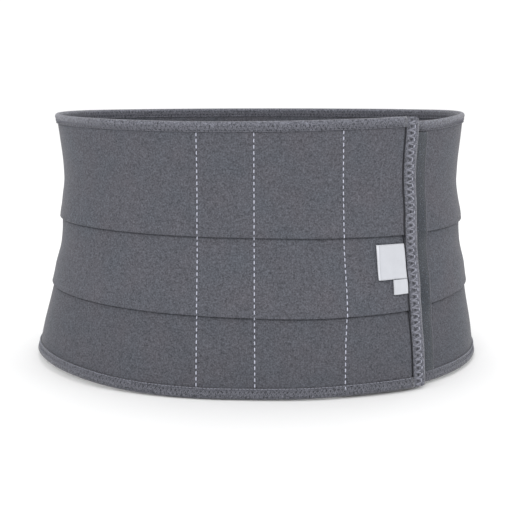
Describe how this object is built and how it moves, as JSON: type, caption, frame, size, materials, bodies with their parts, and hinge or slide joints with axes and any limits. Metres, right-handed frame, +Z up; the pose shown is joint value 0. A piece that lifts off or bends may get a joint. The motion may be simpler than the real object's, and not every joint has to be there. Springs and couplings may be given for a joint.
{
  "type": "abdominal binder",
  "caption": "Elastic abdominal binder, closed and standing: shingled wide bands bound with tape round the rim, hem and ends, lapped with hook and loop at the front right.",
  "frame": {"origin": "the middle of the footprint on the surface that the hem stands on", "axes": "+Z up, -Y the front, +X to the right of the front as it is looked at, along the longest side"},
  "size_m": [0.4292, 0.299, 0.2305],
  "materials": {
    "elastic": "matt grey knitted elastic with a short nap",
    "binding_tape": "soft grey folded tape, zigzag stitched",
    "loop_pile": "dark grey brushed loop pile",
    "hook_tape": "dark grey woven hook tape",
    "label_cloth": "white woven satin label, bare"
  },
  "bodies": {
    "root": {"top_panel": "elastic", "middle_panel": "elastic", "lower_panel": "elastic", "top_binding": "binding_tape", "hem_binding": "binding_tape", "outer_end_binding": "binding_tape", "inner_end_binding": "binding_tape", "loop_strip": "loop_pile", "hook_strip": "hook_tape", "side_label": "label_cloth", "size_tag": "label_cloth"}
  },
  "joints": []
}
